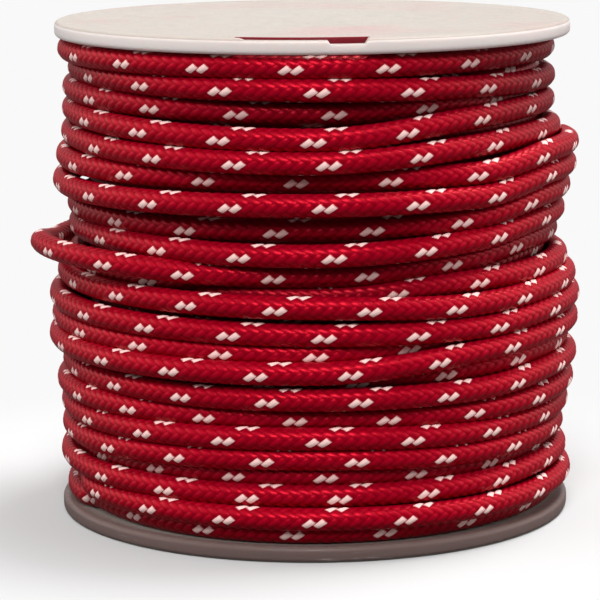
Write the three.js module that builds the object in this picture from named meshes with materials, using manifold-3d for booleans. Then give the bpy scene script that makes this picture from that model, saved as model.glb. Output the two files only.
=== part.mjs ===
// A roll of braided cord, wound on a plastic spool with two round flanges.
// Millimetres, +Z up. The origin is the middle of the spool's flat underside.
// Angles go round the spool's axis in degrees: 0 is the front (-Y) and 90 is the right (+X).

import * as THREE from 'three';
import { mergeVertices } from 'three/addons/utils/BufferGeometryUtils.js';
import Module from 'manifold-3d';

// Driving sizes
const CORD_DIAMETER = 4;
const SPOOL_HEIGHT = 84.6;
const FLANGE_RADIUS = 44;
const FLANGE_THICKNESS = 2.6;
const RIM_ROUNDING = 0.8;
const BARREL_RADIUS = 15;
const SEAT_GAP = 0.3;

// The cord catch is a slit just inside the top flange's rim. Over part of its length the lip
// outside it is cut lower, so that a cord end can be pressed in from the side.
const CATCH_SLIT = { innerRadius: 40.9, outerRadius: 42.5, fromAngle: -17, toAngle: 12.6 };
const CATCH_LIP = { middleAngle: 7.4, floorWidth: 5.6, mouthWidth: 6.8, depth: 0.9 };

// Steps round the axis
const SPOOL_SEGMENTS = 72;
const ROUNDING_STEPS = 3;
const WINDING_SEGMENTS = 56;
const WINDING_LAYERS = 76;

// The cord layers under the outer one close every gap between its turns at this radius.
const UNDERLAYER_RADIUS = 38.8;
const TUCKED_REACH = 38;

// Where along its way round the front each turn is given: left, front, half right and right
const STATION = { left: -75, front: 0, halfRight: 38, right: 65 };

// The outer layer, one row for each turn from the top down. The drops are the depths of the
// turn's middle below the top flange at the four stations. The reaches are its outermost radius
// at three of them. Behind the roll each turn runs on, from its right to the next row's left.
// Turn 10 is slack and stands out as a loop at the left. Short reaches are turns that have sunk
// between their neighbours.
const TURN_COLUMNS = [
  'dropLeft', 'dropFront', 'dropHalfRight', 'dropRight', 'reachLeft', 'reachFront', 'reachRight',
];
const TURN_ROWS = [
  [2.1, 2.1, 2.1, 2.1, 43.6, 43.6, 41.3],
  [5.3, 5.7, 6.3, 6.9, 41.9, 44.0, 41.4],
  [8.6, 9.4, 9.0, 9.1, 42.8, 42.3, 39.5],
  [12.1, 13.5, 11.4, 10.9, 43.2, 44.6, 41.5],
  [16.1, 17.1, 15.9, 15.4, 43.4, 45.0, 42.6],
  [20.2, 20.2, 20.1, 18.0, 44.2, 42.6, 45.8],
  [24.5, 23.9, 23.9, 21.8, 44.8, 45.3, 45.5],
  [28.7, 28.2, 27.5, 25.5, 42.2, 42.4, 44.3],
  [31.6, 32.0, 31.1, 29.7, 42.2, 44.8, 43.4],
  [34.0, 35.7, 34.5, 33.1, 48.6, 42.6, 42.4],
  [37.6, 37.6, 36.5, 35.1, 40.3, 40.8, 40.4],
  [38.8, 38.8, 37.9, 37.8, 39.0, 41.2, 44.0],
  [39.9, 40.3, 41.3, 41.0, 44.2, 45.4, 45.4],
  [44.2, 44.8, 45.1, 44.3, 45.6, 44.8, 46.1],
  [47.7, 48.0, 47.2, 46.7, 45.3, 43.6, 40.6],
  [51.0, 50.9, 49.0, 48.3, 45.8, 45.6, 46.0],
  [53.4, 53.2, 52.2, 51.2, 40.5, 41.2, 44.2],
  [55.6, 55.2, 55.3, 54.5, 43.6, 45.0, 45.6],
  [59.1, 58.6, 59.1, 58.8, 44.6, 43.4, 45.2],
  [62.8, 61.7, 62.7, 62.9, 44.0, 44.6, 44.0],
  [66.6, 65.1, 65.7, 65.8, 44.0, 44.0, 43.6],
  [69.4, 68.0, 68.2, 68.1, 41.6, 43.2, 43.2],
  [71.7, 71.3, 71.4, 70.9, 44.1, 43.4, 43.8],
  [75.1, 74.9, 75.2, 75.1, 43.2, 45.2, 44.7],
  [77.3, 77.3, 77.3, 77.3, 42.6, 43.0, 42.6],
];
const TURNS = TURN_ROWS.map((row) =>
  Object.fromEntries(TURN_COLUMNS.map((column, i) => [column, row[i]])));

// Both ends of the outer layer are tucked under it, behind the roll.
const UPPER_END = { ...TURNS[0], reachRight: TUCKED_REACH };
const LOWER_END = { ...TURNS[TURNS.length - 1], reachLeft: TUCKED_REACH };

const wasm = await Module();
wasm.setup();

function radians(degrees) {
  return THREE.MathUtils.degToRad(degrees);
}

// A point at a radius, an angle from the front and a height
function polar(radius, angle, height) {
  const a = radians(angle);
  return new THREE.Vector3(radius * Math.sin(a), -radius * Math.cos(a), height);
}

// A geometry whose points are shared by its faces, without the faces that have shrunk to a line
function sharedPoints(geometry) {
  const bare = geometry.clone();
  bare.deleteAttribute('normal');
  bare.deleteAttribute('uv');
  const merged = mergeVertices(bare, 1e-4);
  const faces = [];
  for (let i = 0; i < merged.index.count; i += 3) {
    const corners = [0, 1, 2].map((c) => merged.index.getX(i + c));
    if (new Set(corners).size === 3) faces.push(...corners);
  }
  merged.setIndex(faces);
  return merged;
}

function toSolid(geometry) {
  const shared = sharedPoints(geometry);
  return new wasm.Manifold(new wasm.Mesh({
    numProp: 3,
    vertProperties: new Float32Array(shared.attributes.position.array),
    triVerts: new Uint32Array(shared.index.array),
  }));
}

function fromSolid(solid) {
  const mesh = solid.getMesh();
  const geometry = new THREE.BufferGeometry();
  geometry.setAttribute('position', new THREE.BufferAttribute(mesh.vertProperties, 3));
  geometry.setIndex(new THREE.BufferAttribute(mesh.triVerts, 1));
  return geometry;
}

// Spool

// The rounded edge of one flange, from its lower face to its upper one
function rimPoints(lowerFace) {
  const points = [];
  const centreRadius = FLANGE_RADIUS - RIM_ROUNDING;
  const corners = [
    { height: lowerFace + RIM_ROUNDING, from: -90 },
    { height: lowerFace + FLANGE_THICKNESS - RIM_ROUNDING, from: 0 },
  ];
  for (const corner of corners) {
    for (let i = 0; i <= ROUNDING_STEPS; i += 1) {
      const a = radians(corner.from + (90 * i) / ROUNDING_STEPS);
      points.push(new THREE.Vector2(
        centreRadius + RIM_ROUNDING * Math.cos(a),
        corner.height + RIM_ROUNDING * Math.sin(a),
      ));
    }
  }
  return points;
}

// Barrel and flanges are one moulding, turned from a profile that is closed on the axis.
function spoolBlank() {
  const topFlangeFloor = SPOOL_HEIGHT - FLANGE_THICKNESS;
  const profile = [
    new THREE.Vector2(0, 0),
    ...rimPoints(0),
    new THREE.Vector2(BARREL_RADIUS, FLANGE_THICKNESS),
    new THREE.Vector2(BARREL_RADIUS, topFlangeFloor),
    ...rimPoints(topFlangeFloor),
    new THREE.Vector2(0, SPOOL_HEIGHT),
  ];
  return new THREE.LatheGeometry(profile, SPOOL_SEGMENTS).rotateX(Math.PI / 2);
}

// A curved bar that cuts the slit right through the top flange
function slitCutter() {
  const { innerRadius, outerRadius, fromAngle, toAngle } = CATCH_SLIT;
  const start = radians(fromAngle - 90);
  const end = radians(toAngle - 90);
  const overshoot = 1;
  const outline = new THREE.Shape();
  outline.absarc(0, 0, outerRadius, start, end, false);
  outline.absarc(0, 0, innerRadius, end, start, true);
  const bar = new THREE.ExtrudeGeometry(outline, {
    depth: FLANGE_THICKNESS + 2 * overshoot,
    bevelEnabled: false,
    curveSegments: 8,
  });
  return bar.translate(0, 0, SPOOL_HEIGHT - FLANGE_THICKNESS - overshoot);
}

// A wedge with sloping ends that cuts the lip lower, from the slit out past the rim
function lipCutter() {
  const { middleAngle, floorWidth, mouthWidth, depth } = CATCH_LIP;
  const overshoot = 1;
  const slope = (mouthWidth - floorWidth) / 2 / depth;
  const topWidth = mouthWidth + 2 * slope * overshoot;
  const outline = new THREE.Shape([
    new THREE.Vector2(-floorWidth / 2, -depth),
    new THREE.Vector2(floorWidth / 2, -depth),
    new THREE.Vector2(topWidth / 2, overshoot),
    new THREE.Vector2(-topWidth / 2, overshoot),
  ]);
  const from = (CATCH_SLIT.innerRadius + CATCH_SLIT.outerRadius) / 2;
  const wedge = new THREE.ExtrudeGeometry(outline, {
    depth: FLANGE_RADIUS + overshoot - from,
    bevelEnabled: false,
  });
  wedge.rotateX(Math.PI / 2).translate(0, -from, SPOOL_HEIGHT);
  return wedge.rotateZ(radians(middleAngle));
}

function spoolGeometry() {
  const cut = toSolid(spoolBlank())
    .subtract(toSolid(slitCutter()))
    .subtract(toSolid(lipCutter()));
  return fromSolid(cut);
}

// Winding

function eased(a, b, share) {
  return a + (b - a) * share * share * (3 - 2 * share);
}

// The middle's drop and the reach of a turn at an angle from its left station, through the
// front and the right station, on to the left station of the turn below it
function turnAt(turn, turnBelow, angle) {
  const nextLeft = STATION.left + 360;
  const frontReach = turn.reachFront;
  const halfShare = STATION.halfRight / STATION.right;
  const halfReach = frontReach + (turn.reachRight - frontReach) * halfShare;
  const way = [
    { angle: STATION.left, drop: turn.dropLeft, reach: turn.reachLeft },
    { angle: STATION.front, drop: turn.dropFront, reach: frontReach },
    { angle: STATION.halfRight, drop: turn.dropHalfRight, reach: halfReach },
    { angle: STATION.right, drop: turn.dropRight, reach: turn.reachRight },
    { angle: nextLeft, drop: turnBelow.dropLeft, reach: turnBelow.reachLeft },
  ];
  const i = way.findIndex((key, n) => n > 0 && angle <= key.angle);
  const a = way[i - 1];
  const b = way[i];
  const share = (angle - a.angle) / (b.angle - a.angle);
  return { drop: eased(a.drop, b.drop, share), reach: eased(a.reach, b.reach, share) };
}

// Every turn that passes an angle, with the tucked ends
function turnsPassing(angle) {
  const all = [UPPER_END, ...TURNS, LOWER_END];
  const wrapped = angle < STATION.left ? angle + 360 : angle;
  return all.slice(0, -1).map((turn, i) => turnAt(turn, all[i + 1], wrapped));
}

// The surface of the roll: the outermost of the round turns, or the layer under them
function surfaceRadius(turns, height) {
  const cordRadius = CORD_DIAMETER / 2;
  const underTopFlange = SPOOL_HEIGHT - FLANGE_THICKNESS;
  let radius = UNDERLAYER_RADIUS;
  for (const turn of turns) {
    const offset = Math.abs(underTopFlange - turn.drop - height);
    if (offset < cordRadius) {
      const round = turn.reach - cordRadius + Math.sqrt(cordRadius ** 2 - offset ** 2);
      radius = Math.max(radius, round);
    }
  }
  return radius;
}

// One closed section of the winding at an angle: up its surface and down along the barrel
function windingSection(angle) {
  const floor = FLANGE_THICKNESS + SEAT_GAP;
  const ceiling = SPOOL_HEIGHT - FLANGE_THICKNESS - SEAT_GAP;
  const innerRadius = BARREL_RADIUS + SEAT_GAP;
  const turns = turnsPassing(angle);
  const section = [];
  for (let j = 0; j <= WINDING_LAYERS; j += 1) {
    const height = floor + ((ceiling - floor) * j) / WINDING_LAYERS;
    section.push(polar(surfaceRadius(turns, height), angle, height));
  }
  section.push(polar(innerRadius, angle, ceiling));
  section.push(polar(innerRadius, angle, floor));
  return section;
}

// A closed ring skinned over sections that go once round the axis
function ringGeometry(sections) {
  const count = sections[0].length;
  const faces = [];
  sections.forEach((section, i) => {
    const here = i * count;
    const next = ((i + 1) % sections.length) * count;
    for (let j = 0; j < count; j += 1) {
      const up = (j + 1) % count;
      faces.push(here + j, next + j, next + up);
      faces.push(here + j, next + up, here + up);
    }
  });
  const geometry = new THREE.BufferGeometry().setFromPoints(sections.flat());
  geometry.setIndex(faces);
  return geometry;
}

function windingGeometry() {
  const sections = [];
  for (let i = 0; i < WINDING_SEGMENTS; i += 1) {
    sections.push(windingSection(-180 + (360 * i) / WINDING_SEGMENTS));
  }
  return ringGeometry(sections);
}

// Assembly

const MILKY_PLASTIC = new THREE.MeshStandardMaterial({
  color: '#ddd4cb',
  roughness: 0.35,
  metalness: 0,
});
const RED_BRAID = new THREE.MeshStandardMaterial({
  color: '#a3081f',
  roughness: 0.8,
  metalness: 0,
});

function namedMesh(name, geometry, material) {
  geometry.computeVertexNormals();
  const mesh = new THREE.Mesh(geometry, material);
  mesh.name = name;
  return mesh;
}

const roll = new THREE.Group();
roll.add(namedMesh('spool', spoolGeometry(), MILKY_PLASTIC));
roll.add(namedMesh('winding', windingGeometry(), RED_BRAID));

export default roll;
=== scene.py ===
# %% [markdown]
# # A roll of braided cord on a flanged spool
#
# The real object is about thirty metres of thin braided cord, wound in layers on a spool of
# milky plastic. Two things make it look real: the winding is uneven, and every yarn of the
# braid shows. So the cord of the outer layer is modelled turn by turn along one path, and
# its braid is real relief with a material that knows which yarn lies on top.
#
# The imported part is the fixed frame. Its two solids, the spool and the winding, are both
# replaced here by finer pieces of the same size in the same place. Blender works in metres,
# and the sizes below are in millimetres, so they are multiplied by MM when a mesh is made.

# %% Load the fixed frame
import math

import bpy
import numpy as np
from mathutils import Matrix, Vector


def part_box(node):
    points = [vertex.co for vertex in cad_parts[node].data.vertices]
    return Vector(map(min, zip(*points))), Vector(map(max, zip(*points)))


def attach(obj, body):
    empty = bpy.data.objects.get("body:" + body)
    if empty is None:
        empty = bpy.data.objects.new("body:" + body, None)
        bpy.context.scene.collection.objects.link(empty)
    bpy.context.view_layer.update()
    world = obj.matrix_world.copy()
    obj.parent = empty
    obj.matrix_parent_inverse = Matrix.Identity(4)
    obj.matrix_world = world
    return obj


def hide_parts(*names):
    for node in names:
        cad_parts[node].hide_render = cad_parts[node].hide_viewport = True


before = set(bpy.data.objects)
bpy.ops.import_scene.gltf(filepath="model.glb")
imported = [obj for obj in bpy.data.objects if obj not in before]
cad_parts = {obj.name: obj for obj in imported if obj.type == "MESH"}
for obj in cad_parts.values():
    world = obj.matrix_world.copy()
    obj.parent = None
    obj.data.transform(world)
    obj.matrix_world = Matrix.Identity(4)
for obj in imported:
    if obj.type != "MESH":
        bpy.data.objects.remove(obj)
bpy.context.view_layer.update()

MM = 0.001
for node_name in ("spool", "winding"):
    low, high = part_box(node_name)
    print(node_name, "spans", [round((b - a) / MM, 1) for a, b in zip(low, high)], "mm")

# %% [markdown]
# ## The camera
#
# The camera stands where the photograph was taken: half a metre in front of the roll, a
# little above it, with a long lens. Its place was worked out from the two flanges, whose
# rims are circles of known size. A camera could also be aimed with a constraint, but plain
# turns about three axes are easier to read and stay as they are.

# %% Make the camera
CAMERA_PLACE = (0.0, -506.0, 123.4)
CAMERA_LENS = 177.2
CAMERA_PITCH = 9.85
CAMERA_SWING = 0.27
CAMERA_ROLL = -0.4


def turned(degrees, axis):
    return Matrix.Rotation(math.radians(degrees), 4, axis)


camera = bpy.data.objects.new("camera", bpy.data.cameras.new("camera"))
camera.data.lens = CAMERA_LENS
camera.data.clip_start = 10 * MM
camera.matrix_world = (
    Matrix.Translation([c * MM for c in CAMERA_PLACE])
    @ turned(CAMERA_SWING, "Z")
    @ turned(90 - CAMERA_PITCH, "X")
    @ turned(CAMERA_ROLL, "Z")
)
bpy.context.collection.objects.link(camera)
bpy.context.scene.camera = camera
print("camera", round(math.hypot(*CAMERA_PLACE)), "mm from the roll's foot")

# %% [markdown]
# ## The way of the cord
#
# A real roll is wound by a machine that lets the cord wander, so no two turns lie alike.
# The outer layer is described by a table with one row for each turn, from the top down:
# how deep the turn's middle lies below the top flange at four stations on its way round the
# front, how far out it reaches at three of them, and where its white fleck sits, counted in
# millimetres to the right of the middle. Between the stations the path is a smooth curve.

# %% List the turns of the outer layer
SPOOL_HEIGHT = 84.6
FLANGE_RADIUS = 44.0
FLANGE_THICKNESS = 2.6
BARREL_RADIUS = 15.0
CORD_RADIUS = 1.95
TOP_FLANGE_FLOOR = SPOOL_HEIGHT - FLANGE_THICKNESS

STATIONS = {"Left": -75.0, "Front": 0.0, "HalfRight": 38.0, "Right": 65.0}
TURN_COLUMNS = (
    "dropLeft", "dropFront", "dropHalfRight", "dropRight",
    "reachLeft", "reachFront", "reachRight", "fleck",
)
TURN_ROWS = (
    (2.1, 2.1, 2.1, 2.1, 43.6, 43.6, 41.3, -3.4),
    (5.3, 5.7, 6.3, 6.9, 41.9, 44.0, 41.4, 0.7),
    (8.6, 9.5, 9.0, 9.1, 42.8, 41.3, 39.5, 3.4),
    (12.1, 13.5, 11.4, 10.9, 43.2, 44.6, 41.5, 0.1),
    (16.1, 17.1, 15.9, 15.4, 43.4, 45.0, 42.6, 2.5),
    (20.2, 20.3, 20.1, 18.0, 44.2, 41.8, 45.8, -2.7),
    (24.5, 23.9, 23.9, 21.8, 44.8, 45.3, 45.5, 1.8),
    (28.7, 28.3, 27.5, 25.5, 42.2, 41.4, 44.3, -6.1),
    (31.6, 32.0, 31.1, 29.7, 42.2, 44.8, 43.4, 3.3),
    (34.2, 35.8, 34.5, 33.1, 49.3, 41.8, 41.9, 8.6),
    (37.6, 37.6, 36.5, 35.1, 42.6, 40.8, 40.4, 2.0),
    (38.8, 38.8, 37.9, 37.8, 41.0, 41.2, 44.0, -1.6),
    (39.9, 40.3, 41.3, 41.0, 44.2, 45.4, 45.4, -6.3),
    (44.2, 44.8, 45.1, 44.3, 45.6, 44.8, 46.1, 1.6),
    (47.7, 48.0, 47.2, 46.7, 45.3, 43.6, 40.6, 0.2),
    (51.0, 50.9, 49.0, 48.3, 45.8, 45.6, 46.0, 5.8),
    (53.4, 53.2, 52.2, 51.2, 40.5, 41.2, 44.2, 7.0),
    (55.6, 55.2, 55.3, 54.5, 43.6, 45.0, 45.6, 7.5),
    (59.1, 58.7, 59.1, 58.8, 44.6, 42.6, 45.2, -3.2),
    (62.8, 61.7, 62.7, 62.9, 44.0, 44.6, 44.0, 0.6),
    (66.6, 65.1, 65.7, 65.8, 44.0, 44.0, 43.6, 6.9),
    (69.4, 68.0, 68.2, 68.1, 41.6, 43.2, 43.2, 1.8),
    (71.7, 71.3, 71.4, 70.9, 44.1, 43.4, 43.8, 4.0),
    (75.1, 74.9, 75.2, 75.1, 43.2, 45.2, 44.7, -0.1),
    (77.4, 77.4, 77.4, 77.4, 43.2, 43.6, 43.2, -3.8),
)
TURNS = dict(zip(TURN_COLUMNS, np.array(TURN_ROWS).T))
TURN_COUNT = len(TURN_ROWS)
print(TURN_COUNT, "turns in the outer layer")

# %% [markdown]
# The stations are joined by a curve that never swings past the values that it joins: where
# the values turn back, its slope is zero, and elsewhere it is a mean of the slopes on both
# sides. A plain spline would bulge between two stations and push turns into each other.
# Both ends of the outer layer are tucked under it, behind the roll. The slack turn has one
# more place of its own, where it comes up from behind before it loops round the left side.

# %% Join the stations
TUCKED_REACH = 38.0
SLACK_REAR = {"way": 9 - 22 / 360, "drop": 35.9, "reach": 47.2}


def smooth_curve(at, keys, values):
    """A curve through the values at the keys that doesn't swing past them."""
    steps = np.diff(values) / np.diff(keys)
    before, after = steps[:-1], steps[1:]
    same_way = before * after > 0
    total = np.where(same_way, before + after, 1.0)
    between = np.where(same_way, 2 * before * after / total, 0.0)
    slopes = np.concatenate([steps[:1], between, steps[-1:]])
    i = np.clip(np.searchsorted(keys, at) - 1, 0, len(keys) - 2)
    width = keys[i + 1] - keys[i]
    x = np.clip((at - keys[i]) / width, 0.0, 1.0)
    rise = x * x * (3 - 2 * x)
    leave = x * (1 - x) ** 2 * width * slopes[i]
    arrive = x * x * (x - 1) * width * slopes[i + 1]
    return values[i] + (values[i + 1] - values[i]) * rise + leave + arrive


def way_round(turn, station):
    """Counts turns along the cord: whole numbers are the left stations."""
    return turn + (STATIONS[station] - STATIONS["Left"]) / 360.0


def along_the_cord(quantity, stations, first, last):
    """The keys and values of a quantity along the cord, with its two tucked ends."""
    pairs = [(way_round(-1, "Right"), first), (SLACK_REAR["way"], SLACK_REAR[quantity])]
    for turn in range(TURN_COUNT):
        pairs += [(way_round(turn, s), TURNS[quantity + s][turn]) for s in stations]
    pairs.append((way_round(TURN_COUNT, "Left"), last))
    return np.array(sorted(pairs)).T


drop_keys = along_the_cord("drop", STATIONS, TURNS["dropRight"][0], TURNS["dropRight"][-1])
reach_keys = along_the_cord("reach", ("Left", "Front", "Right"), TUCKED_REACH, TUCKED_REACH)
print("the cord is given at", drop_keys.shape[1], "places on its way round")

# %% [markdown]
# A small seeded wander is added, weak in front, where the table says where the turns lie,
# and stronger behind. Then the turns are settled: at each of 360 angles the section through
# the roll is a column of round cords, and cords that lie too close push each other away, the
# inner one most, while a spring holds each near its place. A physics simulation would do the
# same more slowly. A real cord is soft, so the turns may press into each other: as a rule by
# some tenths of a millimetre, and where they crowd most by up to a third of their width.

# %% Settle the turns against each other
ANGLES_ROUND = 360
PRESSED_DISTANCE = 3.55
START = way_round(-1, "Right")
END = way_round(TURN_COUNT, "Left")
WANDER_IN_FRONT, WANDER_BEHIND = 0.10, 0.75
WANDER_UPWARDS = 0.8
WANDER_FROM, WANDER_OVER = 140 / 360, 220 / 360
CLEAR_OF_FLANGE = 0.05
INNER_YIELDS, YIELDING_DEPTH = 0.4, 0.8
SPRING = 0.93
rng = np.random.default_rng(30)

way = np.arange(-ANGLES_ROUND, TURN_COUNT * ANGLES_ROUND + 1) / ANGLES_ROUND
wander_keys = np.arange(-2, TURN_COUNT + 2, 1 / 6)
behind = np.clip((way % 1.0 - WANDER_FROM) / WANDER_OVER, 0, 1)
wander_size = WANDER_IN_FRONT + WANDER_BEHIND * np.sin(np.pi * behind) ** 2


def wander():
    values = rng.uniform(-1, 1, len(wander_keys))
    return smooth_curve(way, wander_keys, values) * wander_size


middle_height = TOP_FLANGE_FLOOR - smooth_curve(way, *drop_keys) + WANDER_UPWARDS * wander()
middle_radius = smooth_curve(way, *reach_keys) - CORD_RADIUS + wander()
lowest = FLANGE_THICKNESS + CORD_RADIUS + CLEAR_OF_FLANGE
highest = TOP_FLANGE_FLOOR - CORD_RADIUS - CLEAR_OF_FLANGE
middle_height = np.clip(middle_height, lowest, highest)


def settled(radius, height, rounds=70):
    """Pushes the turns apart that lie closer than pressed cords do."""
    home_radius, home_height = radius.copy(), height.copy()
    absent = way < START - 1e-6
    for _ in range(rounds):
        by_angle_r = radius[:-1].reshape(-1, ANGLES_ROUND)
        by_angle_h = height[:-1].reshape(-1, ANGLES_ROUND)
        dr = by_angle_r[:, None] - by_angle_r[None]
        dh = by_angle_h[:, None] - by_angle_h[None]
        distance = np.hypot(dr, dh) + 1e-6
        overlap = np.clip(PRESSED_DISTANCE - distance, 0, None)
        here = ~absent[:-1].reshape(-1, ANGLES_ROUND)
        overlap *= here[:, None] * here[None]
        overlap[range(len(overlap)), range(len(overlap))] = 0
        yielding = 0.5 - INNER_YIELDS * np.tanh(dr / YIELDING_DEPTH)
        push = 0.5 * overlap * yielding / distance
        for values, home, gap in ((radius, home_radius, dr), (height, home_height, dh)):
            shift = (push * gap).sum(axis=1).ravel()
            values[:-1] += shift
            values[-1] = values[-2]
            eased = values - home
            eased[1:-1] = 0.25 * eased[:-2] + 0.5 * eased[1:-1] + 0.25 * eased[2:]
            values[:] = home + SPRING * eased
        np.clip(height, lowest, highest, out=height)
    return radius, height


middle_radius, middle_height = settled(middle_radius, middle_height)
on_cord = (way >= START - 1e-6) & (way <= END + 1e-6)
way, middle_radius, middle_height = way[on_cord], middle_radius[on_cord], middle_height[on_cord]
around = np.radians(way * 360.0 + STATIONS["Left"])
path = np.stack([middle_radius * np.sin(around), -middle_radius * np.cos(around), middle_height], 1)
path_length = np.concatenate([[0.0], np.cumsum(np.linalg.norm(np.diff(path, axis=0), axis=1))])
print("outer layer: %.2f m of cord" % (path_length[-1] * MM))

# %% [markdown]
# ## The braid
#
# The cord is braided from sixteen yarns, eight turning one way and eight the other, each
# going over two and under two. Two yarns side by side are white, which gives the pairs of
# white flecks. To place a point in the braid it takes two numbers: how far round the cord it
# is, and how many lays along it (one lay is the length in which a yarn goes once round).
# Their sum and difference count the yarns of both kinds.
#
# The lay is stretched by a few per cent from turn to turn, so that each turn shows its fleck
# at the place that the table gives.

# %% Count the lays along the cord
LAY = 14.75
YARNS_EACH_WAY = 8
FLECK_SHARE = 9.5 / (2 * YARNS_EACH_WAY)
FLECK_PHASE = 7.5 / (2 * YARNS_EACH_WAY)

fleck_angle = np.degrees(TURNS["fleck"] / TURNS["reachFront"])
fleck_way = way_round(np.arange(TURN_COUNT), "Front") + fleck_angle / 360.0
fleck_length = np.interp(fleck_way, way, path_length)
whole_lays = np.round(np.diff(fleck_length) / LAY)
fleck_lays = FLECK_PHASE + np.concatenate([[0.0], np.cumsum(whole_lays)])
before_first = fleck_length[0] / LAY
after_last = (path_length[-1] - fleck_length[-1]) / LAY
lay_keys = np.concatenate([[0.0], fleck_length, path_length[-1:]])
lay_values = np.concatenate([[fleck_lays[0] - before_first], fleck_lays,
                             [fleck_lays[-1] + after_last]])
lays = smooth_curve(path_length, lay_keys, lay_values)
stretch = np.diff(fleck_length) / whole_lays / LAY
print("the lay of %.2f mm is stretched by %.2f to %.2f" % (LAY, stretch.min(), stretch.max()))

# %% [markdown]
# The mesh of the cord follows the braid: its rings are staggered so that the mesh edges run
# along the yarns, three faces across each. That draws the valleys between the yarns
# sharply with few faces. Each yarn rises out of the valley between its neighbours, and dives
# under the next pair at its ends. The side of the cord that lies against the roll is never
# seen, so it is closed with a flat strip, and only the slack turn is round all the way.

# %% Shape the yarns
YARN_STEPS = 3
RINGS_PER_LAY = 2 * YARNS_EACH_WAY * YARN_STEPS
ROUND_COLUMNS = YARNS_EACH_WAY * YARN_STEPS
YARN_RELIEF = 0.13
FLECK_LIFT = -12.0
ROUND_ACROSS, ROUND_ALONG = 0.5, 0.35


def yarn_height(share_round, lays_along):
    """How high the braid stands at a place on the cord, from 0 in a valley to 1 on a yarn."""
    a = YARNS_EACH_WAY * (share_round - lays_along)
    b = YARNS_EACH_WAY * (share_round + lays_along)
    i, j = np.floor(a + 1e-6), np.floor(b + 1e-6)
    a, b = np.clip(a - i, 0, 1), np.clip(b - j, 0, 1)
    crossing = (i + j) % 4
    on_top = crossing < 2
    across = np.where(on_top, a, b)
    along = np.where(on_top, crossing + b, crossing - 2 + a) / 2
    rounded = np.clip(np.sin(np.pi * across), 0, 1) ** ROUND_ACROSS
    return rounded * np.clip(np.sin(np.pi * along), 0, 1) ** ROUND_ALONG


def frame_of(points):
    """The directions along, out from the roll and upwards at each point of a path."""
    along = np.gradient(points, axis=0)
    along /= np.linalg.norm(along, axis=1, keepdims=True)
    out = points * (1, 1, 0)
    out -= along * (out * along).sum(axis=1, keepdims=True)
    out /= np.linalg.norm(out, axis=1, keepdims=True)
    return out, np.cross(out, along)


def along_path(points, at, keys):
    """The points of a path at other places on it."""
    return np.stack([np.interp(at, keys, points[:, axis]) for axis in range(3)], axis=1)


print("%d rings for each lay, %d faces round" % (RINGS_PER_LAY, ROUND_COLUMNS))

# %% [markdown]
# One function skins rings of points into a closed mesh, for every piece of cord. It writes
# two UV maps. The first holds the braid's two numbers, and the material reads it. The second
# lays the cord out in strips, side by side in one square, for whoever bakes the material.

# %% Skin rings into a mesh
STRIPS_HEIGHT = 0.97
STRIP_MARGIN = 0.03
END_PLACES, END_HEIGHT, END_SIZE = (0.2, 0.8), 0.985, 0.01


def skin(name, rings, share_round, lays_along, staggered):
    """A closed tube over rings of points. Staggered rings are half a column apart."""
    ring_count, columns = rings.shape[:2]
    wide = columns + 1
    ring, column = np.divmod(np.arange((ring_count - 1) * columns), columns)
    a = ring * wide + column
    b, c, d = a + 1, a + wide + 1, a + wide
    leaning = staggered & (ring % 2 == 1)
    side = np.concatenate([np.where(leaning, (a, c, b), (a, d, b)).T,
                           np.where(leaning, (a, d, c), (b, d, c)).T])
    fan = np.arange(1, columns - 1)
    foot = np.stack([0 * fan, fan, fan + 1], axis=1)
    head = foot[:, ::-1] + (ring_count - 1) * wide
    on_ring, on_column = np.divmod(np.concatenate([side, foot, head]), wide)

    mesh = bpy.data.meshes.new(name)
    faces = on_ring * columns + on_column % columns
    mesh.from_pydata(rings.reshape(-1, 3) * MM, [], faces)
    mesh.shade_smooth()

    braid = np.stack([share_round[on_ring, on_column % columns] + (on_column == columns),
                      lays_along[on_ring]], axis=2)
    length = np.linalg.norm(np.diff(rings.mean(axis=1), axis=0), axis=1).sum()
    strips = max(1, round(math.sqrt(length / (2 * math.pi * CORD_RADIUS))))
    rings_each = math.ceil((ring_count - 1) / strips)
    strip = np.zeros(len(faces), int)
    strip[:len(side)] = np.tile(ring // rings_each, 2)
    strip = strip[:, None]
    across_strip = STRIP_MARGIN + (1 - 2 * STRIP_MARGIN) * on_column / columns
    layout = np.stack([(on_ring - strip * rings_each) / rings_each,
                       STRIPS_HEIGHT * (strip + across_strip) / strips], axis=2)
    turn = 2 * np.pi * on_column[len(side):] / columns
    middle = np.where(on_ring[len(side):] == 0, *END_PLACES)
    layout[len(side):] = np.stack([middle + END_SIZE * np.cos(turn),
                                   END_HEIGHT + END_SIZE * np.sin(turn)], axis=2)
    for map_name, places in (("Braid", braid), ("OFBake", layout)):
        uv = mesh.uv_layers.new(name=map_name)
        uv.uv.foreach_set("vector", places.astype(np.float32).ravel())
    piece = bpy.data.objects.new(name, mesh)
    bpy.context.collection.objects.link(piece)
    return piece


# %% [markdown]
# The cord is made in six pieces that meet end to end, because one mesh of its length would
# be heavy. The slack turn is a piece of its own: it stands out at the left as a loop, so it
# is the one place where the cord is seen all round.

# %% Make the braided cord
PRESSED_COLUMNS = 17
PIECE_ENDS = (START, 4.4, 8.65, 9.35, 14.5, 19.7, END)
SLACK_TURN = 2
path_out, path_up = frame_of(path)


def ring_at(place):
    """The number of the ring at a place on the cord's way, always an even one."""
    return 2 * math.floor(np.interp(place, way, lays) * RINGS_PER_LAY / 2)


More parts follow.
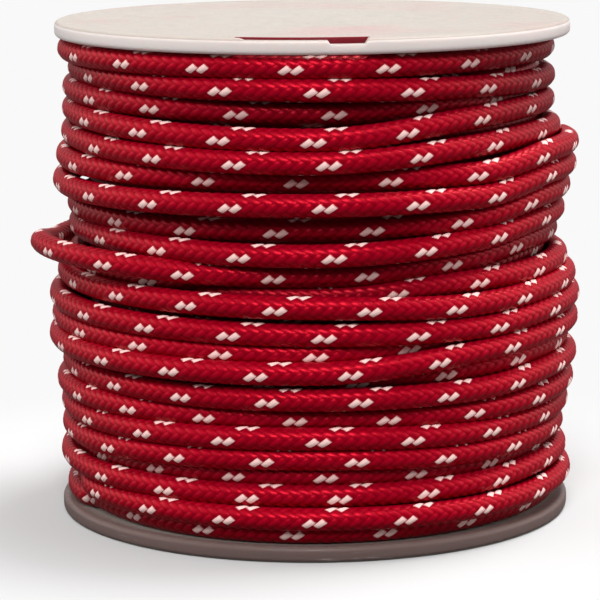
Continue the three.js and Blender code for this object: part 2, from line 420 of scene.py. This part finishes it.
def braided_cord(name, from_way, to_way, columns):
    """The cord between two places on its way, with its braid in relief."""
    number = np.arange(ring_at(from_way), ring_at(to_way) + 1)
    lays_along = number / RINGS_PER_LAY
    at = np.interp(lays_along, lays, way)
    outward_share = FLECK_SHARE - FLECK_LIFT / 360
    middle = round(outward_share * ROUND_COLUMNS - 0.25)
    column = np.arange(columns) - columns // 2 + middle
    share_round = (column[None] + 0.5 * (number % 2)[:, None]) / ROUND_COLUMNS
    height = yarn_height(share_round, lays_along[:, None])
    radius = (CORD_RADIUS - YARN_RELIEF * (1 - height))[..., None]
    turn = (2 * np.pi * (share_round - outward_share))[..., None]
    centre, out, up = (along_path(v, at, way)[:, None] for v in (path, path_out, path_up))
    rings = centre + radius * (np.cos(turn) * out + np.sin(turn) * up)
    return skin(name, rings, share_round, lays_along, True)


cords = []
for n, (from_way, to_way) in enumerate(zip(PIECE_ENDS, PIECE_ENDS[1:])):
    slack = n == SLACK_TURN
    name = "cord_slack_turn" if slack else f"cord_turns_{n + 1}"
    cords.append(braided_cord(name, from_way, to_way, ROUND_COLUMNS if slack else PRESSED_COLUMNS))
    print(name, "has", len(cords[-1].data.polygons), "triangles")

# %% [markdown]
# ## The layer beneath
#
# Where a turn has sunk between its neighbours, the layer beneath shows in the gap. It lies
# in the shade, so plain round turns side by side will do, and the material alone gives them
# their braid.

# %% Make the layer beneath
BENEATH_RADIUS = 36.9
BENEATH_PITCH = 3.95
BENEATH_STEPS = 144
BENEATH_COLUMNS = 9

room = TOP_FLANGE_FLOOR - FLANGE_THICKNESS - 2 * CORD_RADIUS
beneath_turns = room / BENEATH_PITCH
at = np.linspace(0, beneath_turns, int(beneath_turns * BENEATH_STEPS))
angle = 2 * np.pi * at
beneath = np.stack([BENEATH_RADIUS * np.sin(angle), -BENEATH_RADIUS * np.cos(angle),
                    FLANGE_THICKNESS + CORD_RADIUS + at * BENEATH_PITCH], axis=1)
beneath_out, beneath_up = frame_of(beneath)
beneath_up *= np.sign(beneath_up[:, 2:3])
share = 0.5 + (np.arange(BENEATH_COLUMNS) - BENEATH_COLUMNS // 2) / 16
turn = (2 * np.pi * (share - 0.5))[None, :, None]
rings = beneath[:, None] + CORD_RADIUS * (np.cos(turn) * beneath_out[:, None]
                                          + np.sin(turn) * beneath_up[:, None])
cord_beneath = skin("cord_beneath", rings, np.broadcast_to(share, rings.shape[:2]),
                    at * 2 * np.pi * BENEATH_RADIUS / LAY, False)
print("cord_beneath has", len(cord_beneath.data.polygons), "triangles")

for piece in cords + [cord_beneath]:
    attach(piece, "root")
    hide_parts("winding")

# %% [markdown]
# ## The spool
#
# The spool is one moulding: two round flanges with softly rounded rims and a barrel between
# them, which the cord hides. Such a body is turned from a profile, as a potter's wheel would,
# so its mesh is that profile copied round the axis.

# %% Turn the spool
RIM_ROUNDING = 0.8
SPOOL_SEGMENTS = 240
ROUNDING_STEPS = 6
FLAT_SUPPORT = 0.3


def rim_profile(floor):
    """The rounded edge of a flange, with a support ring on each of its flat faces."""
    middle = FLANGE_RADIUS - RIM_ROUNDING
    points = [(middle - FLAT_SUPPORT, floor)]
    for height, start in ((floor + RIM_ROUNDING, -90),
                          (floor + FLANGE_THICKNESS - RIM_ROUNDING, 0)):
        for step in range(ROUNDING_STEPS + 1):
            a = math.radians(start + 90 * step / ROUNDING_STEPS)
            points.append((middle + RIM_ROUNDING * math.cos(a), height + RIM_ROUNDING * math.sin(a)))
    return points + [(middle - FLAT_SUPPORT, floor + FLANGE_THICKNESS)]


def turned_body(name, profile):
    """A closed body turned from a profile that starts and ends on the axis."""
    radius, height = np.array(profile[1:-1]).T
    angle = 2 * np.pi * np.arange(SPOOL_SEGMENTS)[:, None] / SPOOL_SEGMENTS
    points = np.stack([radius * np.sin(angle), -radius * np.cos(angle),
                       np.broadcast_to(height, (SPOOL_SEGMENTS, len(height)))], axis=2)
    ends = [(0, 0, profile[0][1]), (0, 0, profile[-1][1])]
    rows = len(height)
    foot, head = SPOOL_SEGMENTS * rows, SPOOL_SEGMENTS * rows + 1
    faces = []
    for here in range(SPOOL_SEGMENTS):
        after = (here + 1) % SPOOL_SEGMENTS
        faces.append((foot, after * rows, here * rows))
        faces.append((head, here * rows + rows - 1, after * rows + rows - 1))
        for row in range(rows - 1):
            faces.append((here * rows + row, after * rows + row,
                          after * rows + row + 1, here * rows + row + 1))
    mesh = bpy.data.meshes.new(name)
    mesh.from_pydata(np.concatenate([points.reshape(-1, 3), ends]) * MM, [], faces)
    body = bpy.data.objects.new(name, mesh)
    bpy.context.collection.objects.link(body)
    return body


spool_body = turned_body("spool_body", [
    (0, 0),
    *rim_profile(0),
    (BARREL_RADIUS, FLANGE_THICKNESS),
    (BARREL_RADIUS, TOP_FLANGE_FLOOR),
    *rim_profile(TOP_FLANGE_FLOOR),
    (0, SPOOL_HEIGHT),
])
print("spool_body has", len(spool_body.data.polygons), "faces before it is cut")

# %% [markdown]
# The cord catch holds the cord's end on a new roll: a curved slit just inside the top rim,
# with a lip beside it that is cut lower, so that the cord can be pressed in. The thin edge
# between the slit and the rim has given way a little as well. All three are cut
# with Boolean modifiers, as a mould maker would leave steel standing, and a bevel takes the
# sharpness off the new edges. Edges that still turn sharply keep a crisp shade.

# %% Cut the cord catch
SLIT_RADII = (40.9, 42.5)
SLIT_ANGLES = (-17.0, 12.6)
LIP = {"angle": 7.4, "floor": 5.6, "mouth": 6.8, "depth": 0.9}
WORN_EDGE = {"angle": -4.6, "floor": 14.6, "mouth": 16.4, "depth": 0.3}
CUT_START = 41.3
OVERSHOOT = 1.0
SOFT_EDGE = 0.14


def prism(name, lower, upper):
    """A closed body between two outlines of as many points."""
    count = len(lower)
    faces = [tuple(range(count))[::-1], tuple(range(count, 2 * count))]
    for k in range(count):
        n = (k + 1) % count
        faces.append((k, n, count + n, count + k))
    mesh = bpy.data.meshes.new(name)
    mesh.from_pydata([[c * MM for c in point] for point in (*lower, *upper)], [], faces)
    body = bpy.data.objects.new(name, mesh)
    bpy.context.collection.objects.link(body)
    return body


def slit_outline(height):
    angles = np.radians(np.linspace(*SLIT_ANGLES, 25))
    inner, outer = SLIT_RADII
    outward = [(outer * math.sin(a), -outer * math.cos(a), height) for a in angles]
    return outward + [(inner * math.sin(a), -inner * math.cos(a), height) for a in angles[::-1]]


def cut_outline(cut, distance):
    """The section of a cut into the top, wider above, at a distance in front of the axis."""
    slope = (cut["mouth"] - cut["floor"]) / 2 / cut["depth"]
    foot, top = cut["floor"] / 2, cut["mouth"] / 2 + slope * OVERSHOOT
    low, high = SPOOL_HEIGHT - cut["depth"], SPOOL_HEIGHT + OVERSHOOT
    a = math.radians(cut["angle"])
    return [(x * math.cos(a) + distance * math.sin(a), x * math.sin(a) - distance * math.cos(a), z)
            for x, z in ((-foot, low), (foot, low), (top, high), (-top, high))]


cutters = [prism("slit", slit_outline(TOP_FLANGE_FLOOR - OVERSHOOT),
                 slit_outline(SPOOL_HEIGHT + OVERSHOOT))]
for cut_name, cut in (("lip", LIP), ("worn_edge", WORN_EDGE)):
    cutters.append(prism(cut_name, cut_outline(cut, CUT_START),
                         cut_outline(cut, FLANGE_RADIUS + OVERSHOOT)))
for cutter in cutters:
    modifier = spool_body.modifiers.new(cutter.name, "BOOLEAN")
    modifier.object = cutter
    modifier.solver = "EXACT"
bevel = spool_body.modifiers.new("soft_edges", "BEVEL")
bevel.width = SOFT_EDGE * MM
bevel.segments = 2
bevel.limit_method = "ANGLE"
bevel.angle_limit = math.radians(50)
depsgraph = bpy.context.evaluated_depsgraph_get()
spool_body.data = bpy.data.meshes.new_from_object(spool_body.evaluated_get(depsgraph))
spool_body.modifiers.clear()
for cutter in cutters:
    bpy.data.objects.remove(cutter)
spool_body.data.shade_smooth()
spool_body.data.set_sharp_from_angle(angle=math.radians(35))
for face in spool_body.data.polygons:
    if abs(face.normal.z) > 0.9999:
        face.use_smooth = False

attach(spool_body, "root")
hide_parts("spool")
print("spool_body has", len(spool_body.data.polygons), "faces with its cord catch")

# %% [markdown]
# ## Writing materials as sums
#
# A material in Blender is a tree of nodes, usually drawn by hand in the shader editor. Here
# the trees are written as sums, which are easier to read and to change, so a few short
# helpers add a node, link its inputs and hand back its output. One of them gives the place
# on the roll in millimetres, because both materials ask where they are.

# %% Small helpers for nodes
def add_node(tree, kind, inputs=None, **settings):
    """Adds a node. An input is a value, or the output of another node to link."""
    made = tree.nodes.new(kind)
    for setting, value in settings.items():
        setattr(made, setting, value)
    for socket, value in (inputs or {}).items():
        if isinstance(value, bpy.types.NodeSocket):
            tree.links.new(value, made.inputs[socket])
        else:
            made.inputs[socket].default_value = value
    return made


def sums(tree):
    """A short way to write Math nodes in one tree."""
    def calculate(operation, *values):
        node = add_node(tree, "ShaderNodeMath", dict(enumerate(values)), operation=operation)
        return node.outputs["Value"]
    return calculate


def blend_colours(tree, share, first, second):
    mix = add_node(tree, "ShaderNodeMix", {0: share, 6: first, 7: second}, data_type="RGBA")
    return mix.outputs[2]


def ramp(tree, value, start, end, height=1.0):
    """Rises softly from 0 to a height between two values, or falls where end is less."""
    ends = (start, end, 0.0, height) if start < end else (end, start, height, 0.0)
    node = add_node(tree, "ShaderNodeMapRange", {0: value, **dict(enumerate(ends, 1))},
                    interpolation_type="SMOOTHSTEP")
    return node.outputs[0]


def places_in_mm(tree):
    """A place on the roll in millimetres: x, y, z and the distance from the spool's axis."""
    calc = sums(tree)
    spot = add_node(tree, "ShaderNodeTexCoord").outputs["Object"]
    in_mm = add_node(tree, "ShaderNodeVectorMath", {0: spot, "Scale": 1 / MM}, operation="SCALE")
    in_mm = add_node(tree, "ShaderNodeSeparateXYZ", {0: in_mm.outputs[0]})
    x, y, z = (in_mm.outputs[axis] for axis in "XYZ")
    radius = calc("SQRT", calc("ADD", calc("MULTIPLY", x, x), calc("MULTIPLY", y, y)))
    return x, y, z, radius


def new_group(name, inputs, outputs):
    """A node group with named sockets, its inner input node and its inner output node."""
    group = bpy.data.node_groups.new(name, "ShaderNodeTree")
    for socket, kind in inputs.items():
        group.interface.new_socket(socket, in_out="INPUT", socket_type="NodeSocket" + kind)
    for socket, kind in outputs.items():
        group.interface.new_socket(socket, in_out="OUTPUT", socket_type="NodeSocket" + kind)
    return group, group.nodes.new("NodeGroupInput"), group.nodes.new("NodeGroupOutput")


# %% [markdown]
# ## The braid's pattern
#
# The pattern of the braid is wanted wherever cord shows, so it is a node group. It reads the
# two numbers from the UV map and gives back which places are white, how far a place is from
# the middle of its yarn, a shade of its own for every yarn, fine fibres along the yarns and
# the height of the relief that is too small for the mesh. A painted picture would blur up
# close, and these few sums stay sharp. The white is trimmed a little at the yarn's ends and
# sides, where its neighbours squeeze it out of sight.

# %% Make the braid group
WHITE_YARNS = 2
WHITE_TRIM_ACROSS, WHITE_TRIM_ALONG = (0.0, 0.35), (0.25, 0.65)
FLAT_ACROSS, FLAT_ALONG = 0.6, 0.4
YARN_PART, FIBRE_PART = 0.75, 0.25
FIBRES_ACROSS, FIBRES_ALONG = 9.0, 1.2
APART_ONE_WAY, APART_OTHER_WAY = 3.7, 1.3
OTHER_YARNS = 60.5

braid_group, given, wanted = new_group(
    "Braid",
    {"Place": "Vector"},
    {"White": "Float", "Edge": "Float", "Yarn Shade": "Float", "Fibres": "Float", "Height": "Float"},
)
calc = sums(braid_group)
place = add_node(braid_group, "ShaderNodeSeparateXYZ", {0: given.outputs["Place"]})
share, along = place.outputs["X"], place.outputs["Y"]
a = calc("MULTIPLY", calc("SUBTRACT", share, along), YARNS_EACH_WAY)
b = calc("MULTIPLY", calc("ADD", share, along), YARNS_EACH_WAY)
i, j = calc("FLOOR", a), calc("FLOOR", b)
across_one, across_other = calc("SUBTRACT", a, i), calc("SUBTRACT", b, j)
crossing = calc("FLOORED_MODULO", calc("ADD", i, j), 4.0)
on_top = calc("LESS_THAN", crossing, 1.5)
under = calc("SUBTRACT", 1.0, on_top)


def either(one, other):
    """The first value on the yarns that turn one way, the second on the rest."""
    return calc("ADD", calc("MULTIPLY", one, on_top), calc("MULTIPLY", other, under))


across = either(across_one, across_other)
way_on = either(calc("ADD", crossing, across_other),
                calc("ADD", calc("SUBTRACT", crossing, 2.0), across_one))
way_on = calc("MULTIPLY", way_on, 0.5)
hump = calc("MULTIPLY", calc("MULTIPLY", across, calc("SUBTRACT", 1.0, across)), 4.0)
rise = calc("MULTIPLY", calc("MULTIPLY", way_on, calc("SUBTRACT", 1.0, way_on)), 4.0)
number = calc("FLOORED_MODULO", i, float(YARNS_EACH_WAY))
white = calc("MULTIPLY", calc("LESS_THAN", number, WHITE_YARNS - 0.5), on_top)
yarn_place = add_node(braid_group, "ShaderNodeCombineXYZ", {
    "X": either(calc("ADD", i, 0.5), calc("ADD", j, OTHER_YARNS)),
    "Y": calc("MULTIPLY", crossing, 0.3)})
yarn_shade = add_node(braid_group, "ShaderNodeTexWhiteNoise", {"Vector": yarn_place.outputs[0]})
fibre_place = add_node(braid_group, "ShaderNodeCombineXYZ", {
    "X": calc("MULTIPLY", across, FIBRES_ACROSS),
    "Y": calc("MULTIPLY", way_on, FIBRES_ALONG),
    "Z": calc("ADD", calc("MULTIPLY", i, APART_ONE_WAY), calc("MULTIPLY", j, APART_OTHER_WAY))})
fibres = add_node(braid_group, "ShaderNodeTexNoise", {
    "Vector": fibre_place.outputs[0], "Scale": 1.0, "Detail": 2.0, "Roughness": 0.6})
tall = calc("MULTIPLY", calc("POWER", hump, FLAT_ACROSS), calc("POWER", rise, FLAT_ALONG))
height = calc("ADD", calc("MULTIPLY", tall, YARN_PART),
              calc("MULTIPLY", fibres.outputs[0], FIBRE_PART))
white = calc("MULTIPLY", white, ramp(braid_group, hump, *WHITE_TRIM_ACROSS))
white = calc("MULTIPLY", white, ramp(braid_group, rise, *WHITE_TRIM_ALONG))
for socket, value in (("White", white), ("Edge", calc("SUBTRACT", 1.0, tall)),
                      ("Yarn Shade", yarn_shade.outputs["Value"]),
                      ("Fibres", fibres.outputs[0]), ("Height", height)):
    braid_group.links.new(value, wanted.inputs[socket])
print("the braid group has", len(braid_group.nodes), "nodes")

# %% [markdown]
# ## The finish of the cord
#
# The yarns are dyed nylon: a deep red with a soft gloss along the fibres. Where a yarn dives under
# its neighbours, painted shade darkens the red in the valley. The white yarns turn pinker and darker
# towards those valleys: partly soiled by the red ones, partly painted shade and painted red
# reflection.
#
# Nylon shines most on the crests of its yarns, and the shine takes on the dye. A small share
# of metal, only where the yarn is dyed, tints it so, and it needs no extra layer. Turns that
# lie deep in the winding look darker in the photograph, because little light reaches them.
# The soft light here reaches them more, so a part of that shade is laid into the colour: the
# distance from the axis is enough to tell them. In a harder light they may look too dark.

# %% Make the material of the cord
RED_LIGHT = (0.45, 0.0, 0.017, 1)
RED_DEEP = (0.32, 0.0, 0.010, 1)
RED_VALLEY_SHADE = (0.23, 0.0, 0.007, 1)
WHITE_YARN = (1.0, 0.68, 0.64, 1)
WHITE_SOILED_AND_SHADED = (0.92, 0.36, 0.36, 1)
RED_GLOSS = (1.0, 0.16, 0.14, 1)
SUNKEN = (0.05, 0.0, 0.004, 1)
SUNKEN_FROM, SUNKEN_TO, SUNKEN_SHARE = 43.7, 41.0, 0.46
GLOSS, GLOSS_IN_DYE = 0.45, 0.28
CORD_ROUGHNESS = 0.35
VALLEY_SHARPNESS = 1.8
YARN_SHARE, FIBRE_SHARE = 0.4, 0.6
FINE_RELIEF, FINE_RELIEF_STRENGTH = 0.1, 0.6


def new_material(name):
    material = bpy.data.materials.new(name)
    material.use_nodes = True
    return material, material.node_tree, material.node_tree.nodes["Principled BSDF"]


red_braid, tree, surface = new_material("red_braid")
calc = sums(tree)
uv = add_node(tree, "ShaderNodeUVMap", uv_map="Braid")
braid = add_node(tree, "ShaderNodeGroup", node_tree=braid_group)
tree.links.new(uv.outputs["UV"], braid.inputs["Place"])
edge = calc("POWER", braid.outputs["Edge"], VALLEY_SHARPNESS)
dye = calc("ADD", calc("MULTIPLY", braid.outputs["Yarn Shade"], YARN_SHARE),
           calc("MULTIPLY", braid.outputs["Fibres"], FIBRE_SHARE))
red = blend_colours(tree, dye, RED_LIGHT, RED_DEEP)
# Painted shade: the red darkens towards the valleys between the yarns.
red = blend_colours(tree, edge, red, RED_VALLEY_SHADE)
# The white turns pinker and darker towards the valleys: partly red soiling, partly painted shade and
# painted red reflection.
pale = blend_colours(tree, edge, WHITE_YARN, WHITE_SOILED_AND_SHADED)
colour = blend_colours(tree, braid.outputs["White"], red, pale)
sunken = ramp(tree, places_in_mm(tree)[3], SUNKEN_FROM, SUNKEN_TO, SUNKEN_SHARE)
colour = blend_colours(tree, sunken, colour, SUNKEN)
relief = add_node(tree, "ShaderNodeBump", {
    "Strength": FINE_RELIEF_STRENGTH, "Distance": FINE_RELIEF * MM,
    "Height": braid.outputs["Height"]})
tree.links.new(colour, surface.inputs["Base Color"])
tree.links.new(relief.outputs["Normal"], surface.inputs["Normal"])
surface.inputs["Roughness"].default_value = CORD_ROUGHNESS
dyed = calc("SUBTRACT", 1.0, braid.outputs["White"])
tree.links.new(calc("MULTIPLY", dyed, GLOSS_IN_DYE), surface.inputs["Metallic"])
gloss = calc("MULTIPLY", calc("SUBTRACT", 1.0, edge), GLOSS)
tree.links.new(gloss, surface.inputs["Specular IOR Level"])
surface.inputs["Specular Tint"].default_value = RED_GLOSS
for piece in cords + [cord_beneath]:
    piece.data.materials.append(red_braid)

# %% [markdown]
# ## The finish of the plastic
#
# Milky polypropylene lets some light through, so the red cord below tints it pink in soft patches,
# and its rims look warmer than its face where light comes through them. Handling leaves faint scuffs
# and a few specks. Real light passing through the plastic is slow and noisy to render, so most of
# that pink tint and of the rims' warmth is painted light, laid into the colour, with a little true
# scattering on top.
#
# First the places are found that look different: the walls of the slit, which get painted shade; the
# part of the face that lies over the cord, which gets the painted pink glow; the shaded lower rim;
# the underside and the edge of the top rim, which get painted light, as if light came through them;
# and the patch near the cord catch, where the painted glow is stronger. Each is a mask from 0 to 1,
# worked out from a place's distances.

# %% Find the places on the spool
CATCH_MIDDLE, CATCH_PATCH = (5.0, -22.0), (13, 34)

milky_plastic, tree, surface = new_material("milky_plastic")
calc = sums(tree)
coordinates = add_node(tree, "ShaderNodeTexCoord")
spot = coordinates.outputs["Object"]
x, y, z, radius = places_in_mm(tree)
facing = add_node(tree, "ShaderNodeSeparateXYZ", {0: coordinates.outputs["Normal"]})
upright = ramp(tree, calc("ABSOLUTE", facing.outputs["Z"]), 0.6, 0.4)

in_slit = calc("MULTIPLY", ramp(tree, radius, SLIT_RADII[0] - 0.3, SLIT_RADII[0] - 0.2),
               ramp(tree, radius, SLIT_RADII[1] + 0.3, SLIT_RADII[1] + 0.2))
in_slit = calc("MULTIPLY", in_slit, upright)
over_cord = calc("MULTIPLY", ramp(tree, radius, BARREL_RADIUS, 24.0), ramp(tree, z, 40.0, 60.0))
low_rim = calc("MULTIPLY", ramp(tree, z, 20.0, 10.0), ramp(tree, z, 0.1, 0.4))
low_rim = calc("MULTIPLY", low_rim, ramp(tree, radius, 40.0, 43.0))
under_rim = calc("MULTIPLY", ramp(tree, z, TOP_FLANGE_FLOOR + 0.8, TOP_FLANGE_FLOOR + 0.2),
                 ramp(tree, z, 60.0, TOP_FLANGE_FLOOR - 1.0))
top_rim = calc("MULTIPLY", ramp(tree, z, TOP_FLANGE_FLOOR - 0.2, TOP_FLANGE_FLOOR + 0.2),
               ramp(tree, radius, 43.0, 43.4))
top_rim = calc("MULTIPLY", top_rim, upright)
aside, back = (calc("MULTIPLY", calc("SUBTRACT", value, middle), 1 / size)
               for value, middle, size in zip((x, y), CATCH_MIDDLE, CATCH_PATCH))
near_catch = calc("SQRT", calc("ADD", calc("MULTIPLY", aside, aside), calc("MULTIPLY", back, back)))
near_catch = calc("MULTIPLY", ramp(tree, near_catch, 1.0, 0.2), over_cord)

# %% [markdown]
# Then the colours are laid over each other through those masks, from the large cloudy tones to the
# smallest specks. The painted pink glow below the face has faint rings, one for each turn of the cord
# under it, and long pale streaks run round the rims: painted highlights, as scratches would catch the
# light. The lower rim stands in the shade in the photograph, and that shade is laid into its colour,
# so in another light it looks darker than the real one would. The same fine noise makes the scuffs in
# the gloss and in the relief, so they belong together.

# %% Make the material of the spool
MILKY = (0.42, 0.39, 0.35, 1)
MILKY_WARM = (0.40, 0.36, 0.32, 1)
MILKY_PAINTED_LIT = (0.93, 0.86, 0.84, 1)
PAINTED_PINK_GLOW = (0.45, 0.28, 0.265, 1)
SLIT_SHADE_RED = (0.20, 0.012, 0.022, 1)
SHADED = (0.10, 0.050, 0.047, 1)
SPECK = (0.06, 0.045, 0.04, 1)
SPECKS_ABOVE, SPECK_SIZE = 0.965, 0.04
TINT_IN_PATCHES, TINT_OF_TURNS, TINT_NEAR_CATCH = 0.45, 0.06, 0.45
LIT_BELOW, LIT_AT_RIM, SHADED_SHARE, STREAKS = 0.8, 0.65, 0.85, 0.5
TURNS_BELOW_RATE = 1.6
SMOOTHEST, SCUFFED = 0.30, 0.20

cloud = add_node(tree, "ShaderNodeTexNoise", {
    "Vector": spot, "Scale": 28.0, "Detail": 2.0, "Roughness": 0.45})
colour = blend_colours(tree, cloud.outputs[0], MILKY, MILKY_WARM)
# Painted light: the pink glow of the red cord through the plastic, in cloudy patches over the cord,
# faint rings over its turns and a patch at the cord catch.
glow_cloud = add_node(tree, "ShaderNodeTexNoise", {
    "Vector": spot, "Scale": 55.0, "Detail": 1.0, "Roughness": 0.4})
patches = ramp(tree, glow_cloud.outputs[0], 0.42, 0.85, TINT_IN_PATCHES)
rings_below = calc("SINE", calc("MULTIPLY", radius, TURNS_BELOW_RATE))
turns_below = calc("MULTIPLY", calc("ADD", rings_below, 1.0), TINT_OF_TURNS)
glow = calc("ADD", calc("ADD", patches, turns_below),
            calc("MULTIPLY", near_catch, TINT_NEAR_CATCH))
colour = blend_colours(tree, calc("MULTIPLY", glow, over_cord), colour, PAINTED_PINK_GLOW)
# Painted light on the top flange's underside and the lower edge of its rim, as if light came through
# the plastic there.
colour = blend_colours(tree, calc("MULTIPLY", under_rim, LIT_BELOW), colour, MILKY_PAINTED_LIT)
colour = blend_colours(tree, calc("MULTIPLY", top_rim, LIT_AT_RIM), colour, MILKY_PAINTED_LIT)
colour = blend_colours(tree, calc("MULTIPLY", low_rim, SHADED_SHARE), colour, SHADED)
# Painted highlights: pale streaks round the upright faces, in the lit colour, as scratches would
# catch the light.
streak_place = add_node(tree, "ShaderNodeVectorMath", {0: spot, 1: (70.0, 70.0, 1100.0)},
                        operation="MULTIPLY")
streaks = add_node(tree, "ShaderNodeTexNoise", {
    "Vector": streak_place.outputs[0], "Scale": 1.0, "Detail": 3.0, "Roughness": 0.7})
streaks = calc("MULTIPLY", ramp(tree, streaks.outputs[0], 0.60, 0.80, STREAKS), upright)
colour = blend_colours(tree, streaks, colour, MILKY_PAINTED_LIT)
# Painted shade on the slit's walls, tinted red as by the cord's light below.
colour = blend_colours(tree, in_slit, colour, SLIT_SHADE_RED)
dots = add_node(tree, "ShaderNodeTexVoronoi", {"Vector": spot, "Scale": 110.0})
rare = calc("GREATER_THAN", add_node(tree, "ShaderNodeSeparateColor", {
    0: dots.outputs["Color"]}).outputs[0], SPECKS_ABOVE)
near = calc("LESS_THAN", dots.outputs["Distance"], SPECK_SIZE)
colour = blend_colours(tree, calc("MULTIPLY", rare, near), colour, SPECK)
tree.links.new(colour, surface.inputs["Base Color"])
scuffs = add_node(tree, "ShaderNodeTexNoise", {
    "Vector": spot, "Scale": 420.0, "Detail": 4.0, "Roughness": 0.65})
tree.links.new(calc("ADD", ramp(tree, scuffs.outputs[0], 0.3, 0.7, SCUFFED), SMOOTHEST),
               surface.inputs["Roughness"])
relief = add_node(tree, "ShaderNodeBump", {
    "Strength": 0.25, "Distance": 0.05 * MM, "Height": scuffs.outputs[0]})
tree.links.new(relief.outputs["Normal"], surface.inputs["Normal"])
surface.inputs["Specular IOR Level"].default_value = 0.18
surface.inputs["Subsurface Weight"].default_value = 0.35
surface.inputs["Subsurface Scale"].default_value = 2 * MM
surface.inputs["Subsurface Radius"].default_value = (1.0, 0.7, 0.6)
spool_body.data.materials.append(milky_plastic)
print("milky_plastic has", len(tree.nodes), "nodes")

# %% [markdown]
# ## The floor
#
# The roll stands on a plain pale floor that runs up into a pale cove, as in a studio. Round
# the roll it takes the soft shadow, and farther out it turns into the even glow of the cove,
# so no horizon shows. A white floor would throw too much light up under the turns, so the
# floor is pale for the camera only and darker for the light that bounces to the roll. A
# large bent sheet would do as well, but its bend would show from some sides.

# %% Make the floor
FLOOR_RADIUS = 4000
COVE_STARTS, COVE_ENDS = 50, 110
COVE = (0.947, 0.947, 0.947, 1)
FLOOR = (0.56, 0.56, 0.56, 1)
FLOOR_FOR_THE_ROLL = (0.12, 0.12, 0.12, 1)
BLACK = (0, 0, 0, 1)

floor_mesh = bpy.data.meshes.new("floor")
corners = [(math.cos(t), math.sin(t), 0) for t in np.linspace(0, 2 * np.pi, 97)[:-1]]
floor_mesh.from_pydata([[c * FLOOR_RADIUS * MM for c in p] for p in corners], [],
                       [tuple(range(len(corners)))])
floor = bpy.data.objects.new("floor", floor_mesh)
bpy.context.collection.objects.link(floor)
floor_paint, tree, surface = new_material("floor_paint")
calc = sums(tree)
seen = add_node(tree, "ShaderNodeLightPath").outputs["Is Camera Ray"]
from_roll = add_node(tree, "ShaderNodeVectorMath", {
    0: add_node(tree, "ShaderNodeTexCoord").outputs["Object"]}, operation="LENGTH")
far = calc("MULTIPLY", ramp(tree, from_roll.outputs["Value"], COVE_STARTS * MM, COVE_ENDS * MM), seen)
paint = blend_colours(tree, seen, FLOOR_FOR_THE_ROLL, FLOOR)
tree.links.new(blend_colours(tree, far, paint, BLACK), surface.inputs["Base Color"])
surface.inputs["Emission Color"].default_value = COVE
tree.links.new(far, surface.inputs["Emission Strength"])
surface.inputs["Roughness"].default_value = 0.9
surface.inputs["Specular IOR Level"].default_value = 0.0
floor_mesh.materials.append(floor_paint)

# %% [markdown]
# ## The light
#
# Most of the light comes from above, where it makes the gloss on the upper side of every
# turn and leaves the gaps between them dark. A wide sun from above, on the right and a
# little behind, casts the soft shadow to the left, and one in front, at half height, opens
# the turns to the camera. The world around adds what softboxes would: a bright patch
# overhead, one at each side, which brightens the turns where they curve away, and a weak one
# behind, which the top face mirrors. Area lamps would give the same light, but they would
# also burn out the floor near them.

# %% Set the lights
SUNS = (
    {"name": "key_light", "strength": 2.1, "width": 26, "from_right": 125, "from_zenith": 24},
    {"name": "front_light", "strength": 2.2, "width": 22, "from_right": -4, "from_zenith": 46},
)
SKY_OVERHEAD, SKY_SIDES, SKY_BEHIND, SKY_ELSEWHERE = 0.8, 2.4, 0.5, 0.05
SKY_SIDES_BELOW = 0.4

for sun in SUNS:
    lamp = bpy.data.lights.new(sun["name"], "SUN")
    lamp.energy = sun["strength"]
    lamp.angle = math.radians(sun["width"])
    light = bpy.data.objects.new(sun["name"], lamp)
    light.matrix_world = turned(sun["from_right"], "Z") @ turned(sun["from_zenith"], "X")
    bpy.context.collection.objects.link(light)

world = bpy.data.worlds.new("studio")
world.use_nodes = True
tree = world.node_tree
calc = sums(tree)
direction = add_node(tree, "ShaderNodeSeparateXYZ", {
    0: add_node(tree, "ShaderNodeTexCoord").outputs["Generated"]})
overhead = ramp(tree, direction.outputs["Z"], 0.45, 0.85, SKY_OVERHEAD)
sides = ramp(tree, calc("ABSOLUTE", direction.outputs["X"]), 0.60, 0.85, SKY_SIDES)
above_floor = ramp(tree, direction.outputs["Z"], 0.10, 0.45, 1.0 - SKY_SIDES_BELOW)
sides = calc("MULTIPLY", sides, calc("ADD", above_floor, SKY_SIDES_BELOW))
behind = ramp(tree, direction.outputs["Y"], 0.50, 0.90, SKY_BEHIND)
sky = tree.nodes["Background"]
sky.inputs["Color"].default_value = (1, 1, 1, 1)
brightness = calc("ADD", calc("ADD", overhead, sides), calc("ADD", behind, SKY_ELSEWHERE))
tree.links.new(brightness, sky.inputs["Strength"])
bpy.context.scene.world = world
bpy.context.scene.view_settings.view_transform = "Standard"
print("key light", SUNS[0]["strength"], "W/m2, sky overhead", SKY_OVERHEAD)
